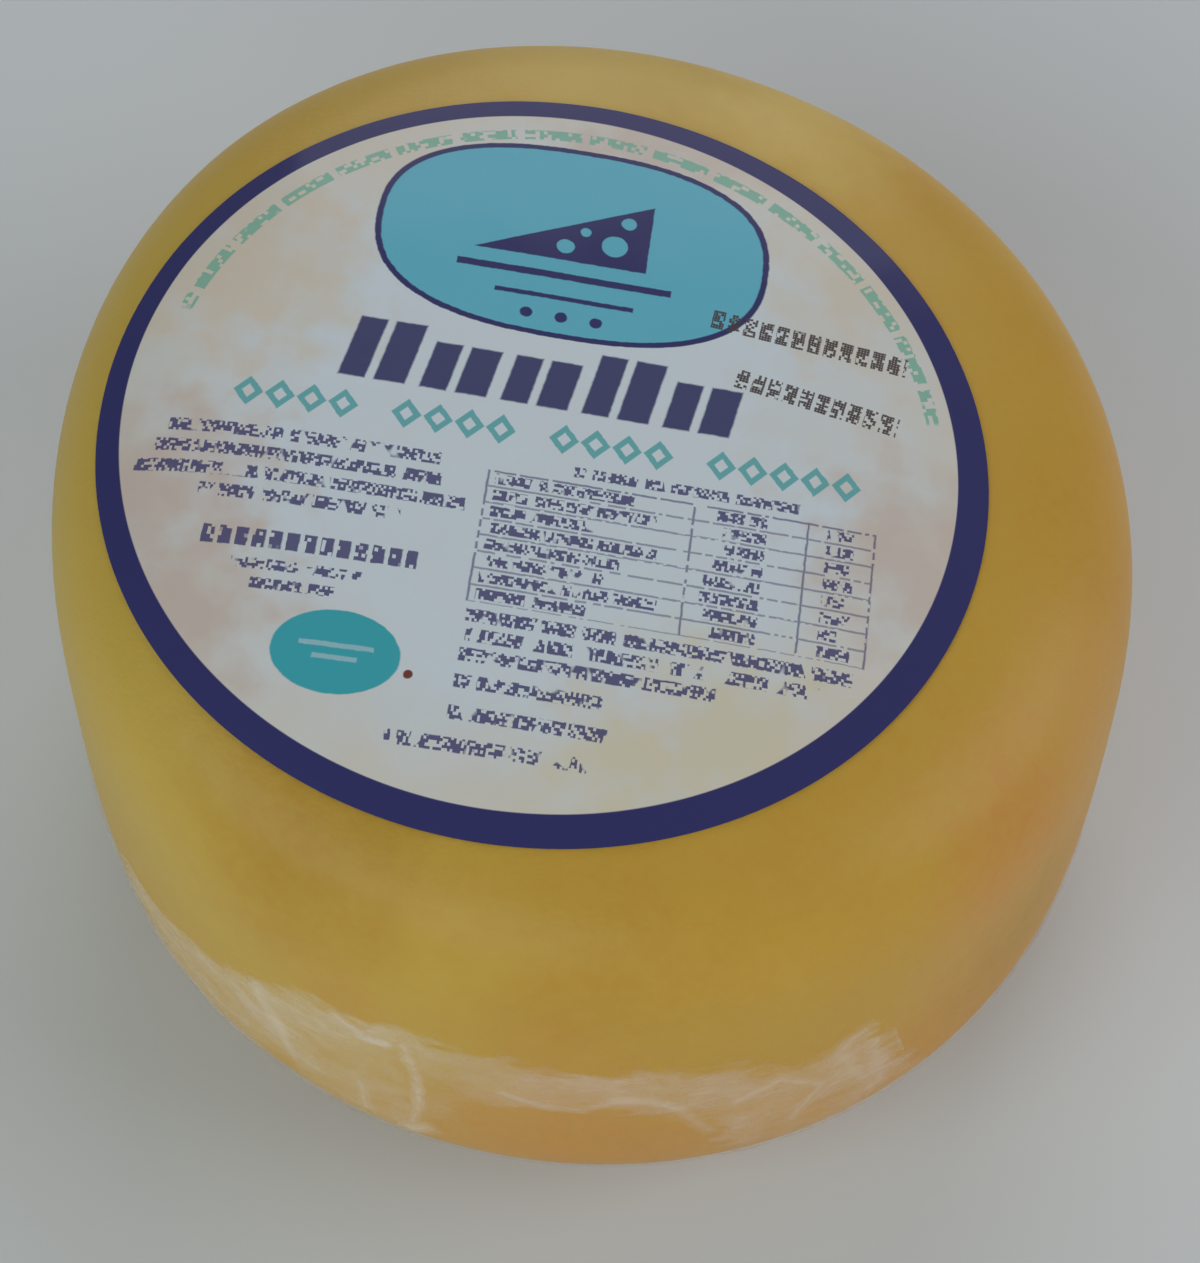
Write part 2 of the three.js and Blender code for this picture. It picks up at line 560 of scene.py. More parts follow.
def make_mottle():
    inputs = (("Place", "Vector", None), ("Scale", "Float", 0.1), ("Detail", "Float", 3.0))
    tree, entry, leave = new_group("mottle", inputs, "Value")
    cloud = tree.nodes.new("ShaderNodeTexNoise")
    for socket, target in (("Place", "Vector"), ("Scale", "Scale"), ("Detail", "Detail")):
        tree.links.new(entry.outputs[socket], cloud.inputs[target])
    value = Field(tree, cloud.outputs["Fac"])
    spread = value.math("MULTIPLY_ADD", MOTTLE_CONTRAST, MOTTLE_SHIFT, clamp=True)
    tree.links.new(spread.socket, leave.inputs[0])
    return tree


def make_soft_patch():
    inputs = (
        ("Place", "Vector", None), ("Centre", "Vector", (0, 0, 0)), ("Stretch", "Vector", (1, 1, 1)),
        ("Radius", "Float", 10.0), ("Wander", "Float", 0.3),
    )
    tree, entry, leave = new_group("soft patch", inputs, "Mask")
    offset = vector_math(tree, "SUBTRACT", entry.outputs["Place"], entry.outputs["Centre"])
    stretched = vector_math(tree, "MULTIPLY", offset.outputs[0], entry.outputs["Stretch"])
    length = vector_math(tree, "LENGTH", stretched.outputs[0])
    cloud = tree.nodes.new("ShaderNodeTexNoise")
    cloud.inputs["Scale"].default_value = PATCH_WANDER_SCALE
    tree.links.new(entry.outputs["Place"], cloud.inputs["Vector"])
    far = Field(tree, length.outputs["Value"]).math("DIVIDE", Field(tree, entry.outputs["Radius"]))
    drift = Field(tree, cloud.outputs["Fac"]) - 0.5
    edge = far + drift * Field(tree, entry.outputs["Wander"]) * 2.0
    soft = tree.nodes.new("ShaderNodeMapRange")
    soft.interpolation_type = "SMOOTHSTEP"
    soft.inputs["From Min"].default_value = 1.0
    soft.inputs["From Max"].default_value = 0.0
    tree.links.new(edge.socket, soft.inputs["Value"])
    tree.links.new(soft.outputs[0], leave.inputs[0])
    return tree


MOTTLE = make_mottle()
SOFT_PATCH = make_soft_patch()


def use_group(tree, group, vector, **values):
    node = tree.nodes.new("ShaderNodeGroup")
    node.node_tree = group
    tree.links.new(vector, node.inputs["Place"])
    for socket, value in values.items():
        node.inputs[socket].default_value = value
    return Field(tree, node.outputs[0])


def mottle(tree, vector, scale, detail=3.0):
    return use_group(tree, MOTTLE, vector, Scale=scale, Detail=detail)


def patch(tree, vector, centre, radius, stretch=(1, 1, 1), wander=0.3):
    values = {"Centre": centre, "Radius": radius, "Stretch": stretch, "Wander": wander}
    return use_group(tree, SOFT_PATCH, vector, **values)


def bump(tree, height, strength, distance_mm):
    node = tree.nodes.new("ShaderNodeBump")
    node.inputs["Strength"].default_value = strength
    node.inputs["Distance"].default_value = distance_mm * MM
    tree.links.new(height.socket, node.inputs["Height"])
    return node.outputs["Normal"]


# %% [markdown]
# The rind is golden yellow, and no two hands' breadths are alike: greener and paler on the left, orange
# low down and on the right. The paler patches at the back and on the far shoulder are a painted sheen,
# and the pinkish patches on the right are a painted reflection. The film clings to it like a coat of
# varnish, so the shader's coat gives the wet gloss, while the cheese under it stays soft and slightly
# rough. Each patch has a centre and a radius in mm, and the share of its tint.

# %% Rind material
GOLD = (0.675, 0.400, 0.050)
DEEP_GOLD = (0.650, 0.355, 0.042)
PALE_GOLD = (0.655, 0.480, 0.088)
PAINTED_SHEEN_GOLD = (0.840, 0.620, 0.160)
ORANGE = (0.700, 0.298, 0.048)
PAINTED_REFLECTION_PINK = (0.730, 0.360, 0.105)
AMBER = (0.560, 0.295, 0.024)
SPECK = (0.250, 0.100, 0.030)
RIND_PATCHES = (
    ((62, -45, 66), 26, 0.85, ORANGE),
    # These two pinkish patches on the right side are a painted reflection.
    ((70, -24, 72), 22, 0.45, PAINTED_REFLECTION_PINK),
    ((62, -52, 48), 22, 0.35, PAINTED_REFLECTION_PINK),
    ((64, -53, 34), 24, 0.50, ORANGE),
    ((6, -83, 30), 30, 0.60, ORANGE),
    ((-27, -79, 57), 12, 0.40, ORANGE),
    ((2, -82, 58), 20, 0.35, ORANGE),
    ((-33, -68, 77), 28, 0.85, AMBER),
    ((7, -77, 70), 24, 0.45, AMBER),
    ((67, -45, 40), 26, 0.85, AMBER),
    # These three paler patches at the back and on the far shoulder are a painted sheen.
    ((0, 72, 78), 40, 0.45, PALE_GOLD),
    ((-17, 66, 82), 26, 0.30, PAINTED_SHEEN_GOLD),
    ((20, 66, 80), 26, 0.60, PAINTED_SHEEN_GOLD),
)
BROAD_SCALE, FINE_SCALE, LUMP_SCALE, PORE_SCALE = 0.035, 0.5, 0.22, 1.3
SPECK_PLACE, SPECK_RADIUS = (59.5, -44.5, 73.0), 0.9


def rind_material():
    material, tree, shader = new_material(
        "yellow_rind", Roughness=0.5, Specular_IOR_Level=0.25, Coat_Weight=0.22, Coat_Roughness=0.32,
    )
    place = place_in_mm(tree)
    x, _, z = split(tree, place)
    colour = colour_mix(tree, mottle(tree, place, BROAD_SCALE, 2.0), GOLD, DEEP_GOLD)
    colour = colour_mix(tree, z.below(40, 24) * 0.6, colour, ORANGE)
    colour = colour_mix(tree, x.below(-30, 90) * 0.6, colour, PALE_GOLD)
    colour = colour_mix(tree, x.above(71, 16) * 0.55, colour, ORANGE)
    for centre, radius, share, tint in RIND_PATCHES:
        colour = colour_mix(tree, patch(tree, place, centre, radius) * share, colour, tint)
    colour = colour_mix(tree, mottle(tree, place, FINE_SCALE, 2.0) * 0.18, colour, PALE_GOLD)
    speck = patch(tree, place, SPECK_PLACE, SPECK_RADIUS, wander=0.1) * 0.8
    colour = colour_mix(tree, speck, colour, SPECK)
    tree.links.new(colour, shader.inputs["Base Color"])
    relief = mottle(tree, place, LUMP_SCALE, 2.0) + mottle(tree, place, PORE_SCALE, 1.0) * 0.35
    tree.links.new(bump(tree, relief, 0.35, 0.25), shader.inputs["Normal"])
    return material


wear(rind, rind_material())

# %% [markdown]
# The label's print is made of fields of colour and simple shapes, drawn in millimetres from its
# middle: u runs to the right and v away from the reader. A shape is a mask, one inside its outline
# and nought outside it, and the masks of one ink are put together by taking the larger.

# %% Shapes for print
PRINT_SOFTNESS = 0.16


def bar(u, v, left, right, low, high, softness=PRINT_SOFTNESS):
    across = (u - (left + right) / 2).magnitude() - (right - left) / 2
    along = (v - (low + high) / 2).magnitude() - (high - low) / 2
    return across.larger(along).below(0, softness)


def disc(u, v, centre_u, centre_v, radius):
    du = u - centre_u
    dv = v - centre_v
    return (du * du + dv * dv).math("SQRT").below(radius, PRINT_SOFTNESS)


def cushion(u, v, centre_u, centre_v, half_u, half_v, fullness):
    du = ((u - centre_u) * (1 / half_u)).magnitude().math("POWER", fullness)
    dv = ((v - centre_v) * (1 / half_v)).magnitude().math("POWER", fullness)
    return (du + dv).below(1, 2 * PRINT_SOFTNESS / half_v)


def largest(masks):
    total = masks[0]
    for mask in masks[1:]:
        total = total.larger(mask)
    return total


def scatter(tree, u, v, step_u, step_v, share):
    cells = join(tree, (u * (1 / step_u)).math("FLOOR"), (v * (1 / step_v)).math("FLOOR"), 0.0)
    node = tree.nodes.new("ShaderNodeTexWhiteNoise")
    tree.links.new(cells, node.inputs["Vector"])
    return Field(tree, node.outputs["Value"]).below(share, 0.02)


# %% [markdown]
# Small print at this distance is a row of tiny broken marks with gaps between words. One scatter of
# cells serves every row, and each row is only a bar that lets the scatter through. A block of rows has
# the left and right end of each row, the height of the first, the pitch and the size of the marks. A
# column of the table has ends that sway from row to row.

# %% Rows of small marks
TEXT_HEIGHT = 2.0
TEXT_BLOCKS = (
    (((-52.3, -14.0), (-52.8, -13.4), (-55.0, -9.6), (-45.5, -18.0)), -6.9, 3.35, TEXT_HEIGHT),
    (((-39.0, -21.3), (-36.0, -24.7)), -27.7, 2.9, 1.6),
    (((4.3, 35.7),), -5.4, 1, 1.7),
    (((-7.0, 45.1), (-6.6, 40.8), (-7.0, 27.1)), -30.8, 3.0, TEXT_HEIGHT),
    (((-7.1, 12.5), (-7.2, 13.7), (-14.8, 11.7)), -40.8, 4.6, TEXT_HEIGHT),
)
TABLE_LEFT, TABLE_RIGHT = -7.2, 46.4
TABLE_TOP, TABLE_LOW = -7.3, -28.7
TABLE_ROWS = 8
TABLE_PITCH = (TABLE_TOP - TABLE_LOW) / TABLE_ROWS
TABLE_DIVIDERS = (21.3, 37.1)
TABLE_TEXT_HEIGHT = 1.7
TABLE_COLUMNS = (
    (2.4, -6.2, 0.0, 13.0, 5.0),
    (1.0, 24.5, 1.2, 31.5, 0.0),
    (3.0, 39.8, 0.0, 43.5, 1.0),
)
RULE_WIDTH = 0.32
BOLD_ROW = (-43.8, -14.6, -25.2, -22.4)
BOLD_PITCH = 2.3


def rows(u, v, spans, first, pitch, height):
    masks = []
    for index, (left, right) in enumerate(spans):
        middle = first - index * pitch
        masks.append(bar(u, v, left, right, middle - height / 2, middle + height / 2))
    return largest(masks)


def table_text(u, v):
    down = (v - TABLE_TOP) * (-1 / TABLE_PITCH)
    from_middle = (down.math("FRACT") - 0.5).magnitude() * TABLE_PITCH
    line = from_middle.below(TABLE_TEXT_HEIGHT / 2, PRINT_SOFTNESS)
    columns = []
    for rate, left, left_sway, right, right_sway in TABLE_COLUMNS:
        sway = (down.math("FLOOR") * rate).math("SINE")
        start, end = sway * left_sway + left, sway * right_sway + right
        columns.append((u - start).above(0, PRINT_SOFTNESS) * (u - end).below(0, PRINT_SOFTNESS))
    return largest(columns) * line * bar(u, v, TABLE_LEFT, TABLE_RIGHT, TABLE_LOW, TABLE_TOP)


def small_print(u, v):
    return largest([*(rows(u, v, *block) for block in TEXT_BLOCKS), table_text(u, v)])


def table_rules(u, v):
    inside = bar(u, v, TABLE_LEFT, TABLE_RIGHT, TABLE_LOW, TABLE_TOP)
    in_row = ((v - TABLE_LOW) * (1 / TABLE_PITCH)).math("FRACT")
    level = (in_row - 0.5).magnitude().above(0.5 - 0.5 * RULE_WIDTH / TABLE_PITCH, 0.05)
    uprights = []
    for place in (TABLE_LEFT, *TABLE_DIVIDERS, TABLE_RIGHT):
        left, right = place - RULE_WIDTH / 2, place + RULE_WIDTH / 2
        uprights.append(bar(u, v, left, right, TABLE_LOW, TABLE_TOP))
    top = bar(u, v, TABLE_LEFT, TABLE_RIGHT, TABLE_TOP - RULE_WIDTH, TABLE_TOP)
    return largest([(level * inside) * 0.8, top, *uprights])


# %% [markdown]
# The badge at the top is a teal cushion shape with a dark rim. On it sits a plain wedge of cheese with
# holes, over two rules and three dots. Below it come pairs of slanted dark strokes and a row of hollow
# teal lozenges, which have the weight of bold words and say nothing.

# %% Bold shapes
RING_INNER_RADIUS = 58.2
RING_SHIFT_U, RING_SHIFT_V = -0.67, 0.41
BADGE = (-1.0, 34.6, 28.6, 17.8, 2.5)
BADGE_RIM = 0.9
WEDGE_TIP, WEDGE_BACK, WEDGE_FOOT, WEDGE_SLOPE = -15.0, 10.0, 31.0, 0.5
WEDGE_CUT_OFF = 60
WEDGE_HOLES = ((5.0, 35.0, 1.9), (-2.0, 33.6, 1.3), (6.6, 39.6, 1.1), (0.6, 36.8, 0.8))
BADGE_LONG_RULE = (-17, 14, 27.4, 28.6)
BADGE_SHORT_RULE = (-11, 9, 23.6, 24.4)
BADGE_DOTS = ((-6.0, 20.6, 0.9), (-1.0, 20.6, 0.9), (4.0, 20.6, 0.9))
SLANT = 0.16
HEAVY_FOOT = 4.6
HEAVY_PITCH = 11.4
HEAVY_TOPS = (15.2, 12.8, 12.8, 15.2, 12.8)
HEAVY_START = -31.0
HEAVY_STROKES = ((0.0, 3.8), (5.0, 9.4))
TEAL_PITCH = 4.4
TEAL_MIDDLE, TEAL_HALF_HEIGHT = -0.3, 2.5
TEAL_LOW, TEAL_TOP = -3.0, 2.4
TEAL_NARROWNESS = 2.1
TEAL_HOLLOW = 0.46
TEAL_SPANS = ((-44.0, -26.4), (-22.0, -4.4), (0.0, 17.6), (22.0, 44.0))


def badge_masks(u, v):
    middle_u, middle_v, half_u, half_v, fullness = BADGE
    outer = cushion(u, v, middle_u, middle_v, half_u, half_v, fullness)
    inner = cushion(u, v, middle_u, middle_v, half_u - BADGE_RIM, half_v - BADGE_RIM, fullness)
    sloping = (u - WEDGE_TIP) * WEDGE_SLOPE - (v - WEDGE_FOOT)
    upright = bar(u, v, WEDGE_TIP, WEDGE_BACK, WEDGE_FOOT, WEDGE_CUT_OFF)
    wedge = upright * sloping.above(0, PRINT_SOFTNESS)
    for hole in WEDGE_HOLES:
        wedge = wedge * (disc(u, v, *hole).math("MULTIPLY_ADD", -1, 1))
    rules = bar(u, v, *BADGE_LONG_RULE).larger(bar(u, v, *BADGE_SHORT_RULE))
    dots = largest([disc(u, v, *dot) for dot in BADGE_DOTS])
    return outer, inner, wedge, rules.larger(dots)


def heavy_bars(u, v):
    leaning = u - v * SLANT
    strokes = []
    for index, top in enumerate(HEAVY_TOPS):
        start = HEAVY_START + index * HEAVY_PITCH
        for left, right in HEAVY_STROKES:
            strokes.append(bar(leaning, v, start + left, start + right, HEAVY_FOOT, top, 0.3))
    return largest(strokes)


def teal_lozenges(u, v):
    across = ((u * (1 / TEAL_PITCH)).math("FRACT") - 0.5).magnitude() * TEAL_NARROWNESS
    along = ((v - TEAL_MIDDLE) * (1 / TEAL_HALF_HEIGHT)).magnitude()
    reach = across + along
    lozenge = reach.below(1, 0.08) * reach.above(TEAL_HOLLOW, 0.08)
    words = largest([bar(u, v, *span, TEAL_LOW, TEAL_TOP) for span in TEAL_SPANS])
    return words * lozenge


# %% [markdown]
# An ink-jet stamp prints in dots, in two rows that don't quite follow the label's lines. The marks here
# are a fine grid of round dots with random ones left out, cut into figure-wide cells, so they spell
# nothing. Each row starts elsewhere in the random field, so the two rows differ. A row has its middle,
# its turn in degrees and its length. Marks of the same kind run along the rim in an arc.

# %% Stamp and arc of marks
STAMP_ROWS = ((34.4, 23.6, -5.7, 29.0), (36.4, 13.3, -9.5, 24.0))
STAMP_HEIGHT = 3.3
STAMP_PITCH = 2.35
STAMP_CELL_SHARE = 0.76
STAMP_ROW_OFFSET = 97
STAMP_DOT_PITCH = 0.42
STAMP_DOT_REACH = 0.57
STAMP_DOTS_KEPT = 0.74
ARC_RADIUS = 54.9
ARC_HEIGHT = 1.9
ARC_HALF_DEGREES = 76
ARC_WORD_PITCH, ARC_GAP_SHARE = 9.7, 0.12
ARC_STEP_ALONG, ARC_STEP_OUT, ARC_KEPT = 0.6, 0.64, 0.72


def stamp(tree, u, v):
    masks = []
    for index, (middle_u, middle_v, degrees, length) in enumerate(STAMP_ROWS):
        cosine, sine = math.cos(math.radians(degrees)), math.sin(math.radians(degrees))
        du, dv = u - middle_u, v - middle_v
        along = du * cosine + dv * sine
        across = dv * cosine - du * sine
        row = bar(along, across, -length / 2, length / 2, -STAMP_HEIGHT / 2, STAMP_HEIGHT / 2)
        cells = (along * (1 / STAMP_PITCH)).math("FRACT").below(STAMP_CELL_SHARE, 0.06)
        shifted = along + STAMP_ROW_OFFSET * index
        kept = scatter(tree, shifted, across, STAMP_DOT_PITCH, STAMP_DOT_PITCH, STAMP_DOTS_KEPT)
        dot_u = (along * (1 / STAMP_DOT_PITCH)).math("FRACT") - 0.5
        dot_v = (across * (1 / STAMP_DOT_PITCH)).math("FRACT") - 0.5
        dots = (dot_u * dot_u + dot_v * dot_v).math("SQRT").below(STAMP_DOT_REACH, 0.12)
        masks.append(row * cells * kept * dots)
    return largest(masks)


def arc_marks(tree, u, v):
    far = (u * u + v * v).math("SQRT")
    band = (far - ARC_RADIUS).magnitude().below(ARC_HEIGHT / 2, PRINT_SOFTNESS)
    turn = v.math("ARCTAN2", u)
    span = (turn - math.pi / 2).magnitude().below(math.radians(ARC_HALF_DEGREES), 0.01)
    along = turn * ARC_RADIUS
    words = (along * (1 / ARC_WORD_PITCH)).math("FRACT").above(ARC_GAP_SHARE, 0.02)
    return band * span * words * scatter(tree, along, far, ARC_STEP_ALONG, ARC_STEP_OUT, ARC_KEPT)


# %% [markdown]
# The paper is white but has soaked up damp in blotches, cream and pink, mostly round its rim. Inks go
# on in the order a press would use: light first, dark last, with the stamp over everything. The dark
# ring is printed a little off the middle of the paper, so it is broader on one side.

# %% Label material
PAPER = (0.755, 0.850, 0.915)
CREAM_STAIN = (0.800, 0.695, 0.555)
PINK_STAIN = (0.715, 0.590, 0.515)
YELLOW_STAIN = (0.800, 0.720, 0.520)
DAMP_RADIUS, DAMP_SOFTNESS, DAMP_DRIFT = 58, 26, 16
NAVY = (0.039, 0.039, 0.165)
TEXT_NAVY = (0.080, 0.075, 0.220)
TEAL = (0.150, 0.555, 0.715)
TEAL_TEXT = (0.110, 0.480, 0.500)
DEEP_TEAL = (0.056, 0.465, 0.540)
MARK_GREEN = (0.220, 0.560, 0.420)
STAMP_BROWN = (0.085, 0.060, 0.060)
DOT_RED = (0.220, 0.060, 0.040)
LABEL_STAINS = (
    ((-46, 20, 0), 26, 0.9, CREAM_STAIN),
    ((-32, 42, 0), 20, 0.5, CREAM_STAIN),
    ((-52, -18, 0), 24, 0.9, PINK_STAIN),
    ((-45, -36, 0), 20, 0.9, PINK_STAIN),
    ((40, 36, 0), 20, 0.7, CREAM_STAIN),
    ((38, 8, 0), 20, 0.3, CREAM_STAIN),
    ((54, -10, 0), 24, 0.8, PINK_STAIN),
    ((30, -44, 0), 24, 0.8, YELLOW_STAIN),
    ((14, -52, 0), 16, 0.7, YELLOW_STAIN),
    ((8, 54, 0), 20, 0.8, PINK_STAIN),
)
OVAL = (-23.0, -39.2, 8.6, 6.1, 2.0)
OVAL_RULES = (((-28.0, -18.0), (-26.0, -20.0)), -38.3, 1.8, 0.7)
RED_DOT = (-13.1, -41.0, 0.62)
SMALL_STEPS, BOLD_STEPS = (0.36, 0.44, 0.62), (0.5, 0.6, 0.86)


def stained_paper(tree, place, u, v):
    local = join(tree, u, v, 0.0)
    out = (u * u + v * v).math("SQRT")
    drift = mottle(tree, local, 0.06, 4.0)
    damp = (out + drift * DAMP_DRIFT).above(DAMP_RADIUS, DAMP_SOFTNESS)
    colour = colour_mix(tree, damp * 0.75, PAPER, CREAM_STAIN)
    for centre, radius, share, tint in LABEL_STAINS:
        stain = patch(tree, local, centre, radius, wander=0.8)
        colour = colour_mix(tree, stain * share, colour, tint)
    return colour_mix(tree, mottle(tree, place, 0.25, 3.0) * 0.10, colour, CREAM_STAIN)


def label_material():
    material, tree, shader = new_material(
        "printed_paper", Roughness=0.6, Specular_IOR_Level=0.2, Coat_Weight=0.22, Coat_Roughness=0.14,
    )
    place = place_in_mm(tree)
    x, y, _ = split(tree, place)
    true_u, true_v = x - LABEL_CENTRE.x / MM, y - LABEL_CENTRE.y / MM
    waver = mottle(tree, place, 0.9, 2.0) * 0.12 - 0.06
    u, v = true_u + waver, true_v + waver
    ring_u, ring_v = true_u - RING_SHIFT_U, true_v - RING_SHIFT_V
    broken = scatter(tree, u, v, *SMALL_STEPS)
    gaps = mottle(tree, join(tree, u, v * 0.35, 0.0), 0.55, 0.0).above(0.22, 0.1)
    dense = scatter(tree, u, v, *BOLD_STEPS)
    bold_cells = (u * (1 / BOLD_PITCH)).math("FRACT").below(0.74, 0.08)
    outer, inner, wedge, trim = badge_masks(u, v)
    colour = stained_paper(tree, place, u, v)
    colour = colour_mix(tree, arc_marks(tree, u, v) * 0.85, colour, MARK_GREEN)
    colour = colour_mix(tree, teal_lozenges(u, v) * 0.9, colour, TEAL_TEXT)
    colour = colour_mix(tree, cushion(u, v, *OVAL), colour, DEEP_TEAL)
    colour = colour_mix(tree, rows(u, v, *OVAL_RULES) * 0.45, colour, PAPER)
    colour = colour_mix(tree, outer, colour, NAVY)
    colour = colour_mix(tree, inner, colour, TEAL)
    colour = colour_mix(tree, wedge.larger(trim) * inner, colour, NAVY)
    colour = colour_mix(tree, heavy_bars(u, v) * 0.95, colour, NAVY)
    bold_row = bar(u, v, *BOLD_ROW) * dense * bold_cells
    rules = table_rules(u, v) * dense * 0.8
    text = (small_print(u, v) * broken * gaps).larger(bold_row).larger(rules)
    colour = colour_mix(tree, text * 0.92, colour, TEXT_NAVY)
    colour = colour_mix(tree, stamp(tree, u, v) * 0.95, colour, STAMP_BROWN)
    colour = colour_mix(tree, disc(u, v, *RED_DOT), colour, DOT_RED)
    far = (ring_u * ring_u + ring_v * ring_v).math("SQRT")
    colour = colour_mix(tree, far.above(RING_INNER_RADIUS, PRINT_SOFTNESS), colour, NAVY)
    tree.links.new(colour, shader.inputs["Base Color"])
    relief = mottle(tree, place, 0.12, 1.0) + mottle(tree, place, 2.5, 0.0) * 0.12
    tree.links.new(bump(tree, relief, 0.25, 0.3), shader.inputs["Normal"])
    return material


wear(label, label_material())

# %% [markdown]
# Clear film can't be seen where it clings: the coat on the rind and on the paper is its gloss, and it
# shows only in the pleats low down. Where it lies double and puckers, trapped air turns it milky, with
# a warm pink cast from the cheese behind it. On the near side its milky smears are partly that and
# partly a painted reflection of the pale floor, and they meet in bright folds that are partly painted
# highlights, with a clear pane between them where orange shows through. Film scatters light forward and
# casts no shadow to speak of, so both pieces are left out of shadows and of light that has bounced,
# which halves the time of a render and changes next to nothing. A patch has its centre, its radius, its
# stretch on each axis and its share; a fold has its two ends, its width and its share.

# %% Film materials
# The cream and lilac colours are partly milky film and partly a painted reflection of the pale floor.
CREAM_MILK_AND_REFLECTION = (0.770, 0.605, 0.380)
LILAC_MILK_AND_REFLECTION = (0.755, 0.535, 0.345)
FOLD_WHITE_AND_HIGHLIGHT = (0.880, 0.750, 0.600)
CLEAR = (0.900, 0.900, 0.900)
HAZE_HEIGHT, HAZE_SOFTNESS = 9, 14
CREAM_PATCHES = (
    ((-52, -64, 33), 30, (1, 1, 0.9), 0.52),
    ((-37, -74.5, 43), 22, (1, 1, 0.9), 0.60),
    ((-27, -78, 49), 17, (0.9, 1, 1.3), 0.60),
    ((-22, -79, 32), 26, (1, 1, 0.9), 0.28),
    ((-10, -82, 50), 22, (0.9, 1, 1.8), 0.36),
)
LILAC_PATCHES = (
    ((10, -82, 47), 36, (0.8, 1, 2.6), 0.46),
    ((26, -78, 44), 22, (1, 1, 1.6), 0.44),
    ((33, -76, 34), 24, (1, 1, 0.9), 0.42),
    ((46, -68, 38), 24, (1, 1, 0.8), 0.44),
)
PANE_MIDDLE_X, PANE_HALF_WIDTH = 8.0, 21.5
PANE_MIDDLE_Z, PANE_HALF_HEIGHT = 18.0, 22.5
PANE_CLEARNESS = 0.85
MILK_ROUND_THE_BACK = 0.30
FILM_OPACITY_AT_MOST = 0.85
SMEAR_FLATNESS, SMEAR_SCALE, STREAK_SCALE = 2.4, 0.09, 0.24
FRAY_DEPTH, FRAY_SOFTNESS, FRAY_WANDER = 1.9, 3.4, 4.2
# The bright fold lines are partly whitened doubled film and partly painted highlights.
FOLD_AND_HIGHLIGHT_LINES = (
    ((-38.8, -73.3, 44.0), (-35.1, -75.4, 37.0), 1.8, 0.45),
    ((-35.1, -75.4, 37.0), (-33.5, -76.2, 30.0), 1.4, 0.30),
    ((-27.0, -78.2, 51.5), (-22.6, -79.7, 48.4), 1.2, 0.50),
    ((-22.8, -79.6, 48.0), (-20.0, -80.2, 48.8), 1.6, 0.90),
    ((-17.4, -80.7, 50.1), (-15.4, -81.4, 42.7), 1.0, 0.50),
    ((-15.4, -81.4, 42.7), (-14.6, -82.0, 34.1), 1.3, 0.65),
    ((-14.6, -82.0, 34.1), (-15.5, -82.0, 26.3), 1.1, 0.45),
    ((-15.8, -81.7, 22.8), (-13.4, -82.2, 25.0), 2.4, 0.60),
    ((-23.2, -80.1, 33.0), (-22.4, -80.2, 24.6), 1.4, 0.32),
    ((-3.5, -82.6, 43.3), (2.9, -82.7, 40.8), 1.5, 0.40),
    ((2.9, -82.7, 40.8), (7.5, -82.3, 40.4), 1.6, 0.50),
    ((7.5, -82.3, 40.4), (11.8, -81.5, 43.4), 1.3, 0.42),
    ((11.8, -81.5, 43.4), (17.1, -80.5, 42.9), 1.5, 0.48),
    ((17.1, -80.5, 42.9), (21.3, -79.7, 38.8), 1.6, 0.48),
    ((21.3, -79.7, 38.8), (26.0, -78.9, 31.0), 1.6, 0.34),
    ((28.8, -77.1, 38.8), (34.4, -74.4, 42.3), 1.3, 0.36),
    ((34.4, -74.4, 42.3), (40.5, -71.7, 36.1), 1.2, 0.34),
    ((40.5, -71.7, 36.1), (37.8, -73.9, 27.9), 1.2, 0.32),
    ((41.6, -70.2, 44.0), (44.7, -67.7, 48.2), 2.0, 0.26),
    ((46.6, -66.9, 45.0), (49.6, -66.0, 28.0), 2.4, 0.34),
    ((42.6, -69.7, 42.3), (48.6, -66.9, 27.2), 1.6, 0.28),
)


def film_skin_material():
    material, tree, shader = new_material("clear_film", Roughness=0.12)
    shader.inputs["Base Color"].default_value = (*CLEAR, 1)
    place = place_in_mm(tree)
    _, _, z = split(tree, place)
    low = z.below(HAZE_HEIGHT, HAZE_SOFTNESS)
    alpha = low * mottle(tree, place, 0.35, 1.0) * 0.25
    tree.links.new(alpha.socket, shader.inputs["Alpha"])
    return material


def depth_from_edge(tree):
    node = tree.nodes.new("ShaderNodeAttribute")
    node.attribute_name = "film_depth"
    return Field(tree, node.outputs["Fac"])


def milk_and_reflection_patches(tree, place, patches):
    masks = []
    for centre, radius, stretch, share in patches:
        masks.append(patch(tree, place, centre, radius, stretch, wander=0.5) * share)
    return largest(masks)


def fold_line(tree, place, wander, start, end, width):
    along = Vector(end) - Vector(start)
    from_start = vector_math(tree, "SUBTRACT", place, start).outputs[0]
    share = vector_math(tree, "DOT_PRODUCT", from_start, along / along.length_squared)
    held = Field(tree, share.outputs["Value"]).math("MAXIMUM", 0).math("MINIMUM", 1)
    foot = vector_math(tree, "MULTIPLY", tuple(along), join(tree, held, held, held)).outputs[0]
    gap = vector_math(tree, "DISTANCE", from_start, foot)
    return (Field(tree, gap.outputs["Value"]) + wander).below(width / 2, width)


def orange_pane(x, y, z, fine):
    side = ((x - PANE_MIDDLE_X) * (1 / PANE_HALF_WIDTH)).magnitude().math("POWER", 3)
    rise = ((z - PANE_MIDDLE_Z) * (1 / PANE_HALF_HEIGHT)).magnitude().math("POWER", 3)
    return (side + rise + (fine - 0.5) * 0.5).below(1, 0.35) * y.below(-40, 10)


